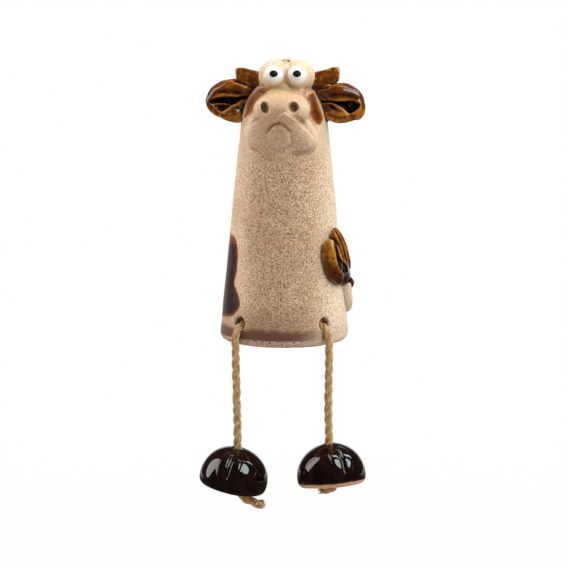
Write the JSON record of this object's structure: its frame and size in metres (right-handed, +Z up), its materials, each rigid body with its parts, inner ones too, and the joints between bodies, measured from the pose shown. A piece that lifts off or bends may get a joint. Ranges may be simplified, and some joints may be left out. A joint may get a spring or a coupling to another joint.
{
  "type": "cow figurine",
  "caption": "Glazed stoneware cow that sits on a shelf edge, a tall hollow cone with a modelled head, pressed-on tail and cord legs that hang with domed hooves.",
  "frame": {"origin": "centre of the ring that the hollow body stands on, in the base plane", "axes": "+Z up, -Y to the front of the cow, +X to the right of a front view, the side with the tail"},
  "size_m": [0.0825, 0.0768, 0.223],
  "materials": {
    "cream_glaze": "semi-matt speckled cream glaze over stoneware, darker towards the foot",
    "brown_glaze": "glossy iron-brown glaze, amber where it is thin",
    "hoof_glaze": "high gloss dark brown glaze with a bare clay sole",
    "eye_glaze": "gloss white glaze",
    "pupil_glaze": "satin black",
    "jute_cord": "rough natural jute, three plies"
  },
  "bodies": {
    "figure": {"body_shell": "cream_glaze", "eye_mound": "cream_glaze", "forelock": "cream_glaze", "left_eyeball": "eye_glaze", "right_eyeball": "eye_glaze", "left_pupil": "pupil_glaze", "right_pupil": "pupil_glaze", "nose_pad": "cream_glaze", "upper_lip": "cream_glaze", "chin": "cream_glaze", "left_horn": "brown_glaze", "right_horn": "brown_glaze", "left_ear": "brown_glaze", "right_ear": "brown_glaze", "tail": "cream_glaze", "tail_tuft": "brown_glaze"},
    "left_hip": {"left_inner_knot": "jute_cord", "left_cord_bend": "jute_cord"},
    "left_leg": {"left_leg_cord": "jute_cord"},
    "left_knot": {"left_hoof_knot": "jute_cord"},
    "left_hoof": {"left_hoof": "hoof_glaze"},
    "right_hip": {"right_inner_knot": "jute_cord", "right_cord_bend": "jute_cord"},
    "right_leg": {"right_leg_cord": "jute_cord"},
    "right_knot": {"right_hoof_knot": "jute_cord"},
    "right_hoof": {"right_hoof": "hoof_glaze"}
  },
  "joints": [
    {"name": "left_leg_splay", "type": "hinge", "parent": "figure", "child": "left_hip", "pos_m": [-0.02263, -0.02604, 0.0106], "axis": [0.6553, 0.7553, 0], "range_deg": [-3, 60]},
    {"name": "left_leg_swing", "type": "hinge", "parent": "left_hip", "child": "left_leg", "pos_m": [-0.02263, -0.02604, 0.0106], "axis": [-0.7553, 0.6553, 0], "range_deg": [0, 90], "deforming": ["left_cord_bend"]},
    {"name": "left_hoof_twist", "type": "hinge", "parent": "left_leg", "child": "left_knot", "pos_m": [-0.021, -0.0259, -0.0622], "axis": [0.0128, 0.0047, -0.9999], "range_deg": [-180, 180]},
    {"name": "left_hoof_slide", "type": "slide", "parent": "left_knot", "child": "left_hoof", "axis": [-0.0128, -0.0047, 0.9999], "range_m": [0, 0.036]},
    {"name": "right_leg_splay", "type": "hinge", "parent": "figure", "child": "right_hip", "pos_m": [0.02375, -0.02503, 0.0106], "axis": [0.6881, -0.7256, 0], "range_deg": [-3, 60]},
    {"name": "right_leg_swing", "type": "hinge", "parent": "right_hip", "child": "right_leg", "pos_m": [0.02375, -0.02503, 0.0106], "axis": [-0.7256, -0.6881, 0], "range_deg": [0, 90], "deforming": ["right_cord_bend"]},
    {"name": "right_hoof_twist", "type": "hinge", "parent": "right_leg", "child": "right_knot", "pos_m": [0.02405, -0.02505, -0.06], "axis": [0.009, 0.0034, -1], "range_deg": [-180, 180]},
    {"name": "right_hoof_slide", "type": "slide", "parent": "right_knot", "child": "right_hoof", "axis": [-0.009, -0.0034, 1], "range_m": [0, 0.036]}
  ]
}
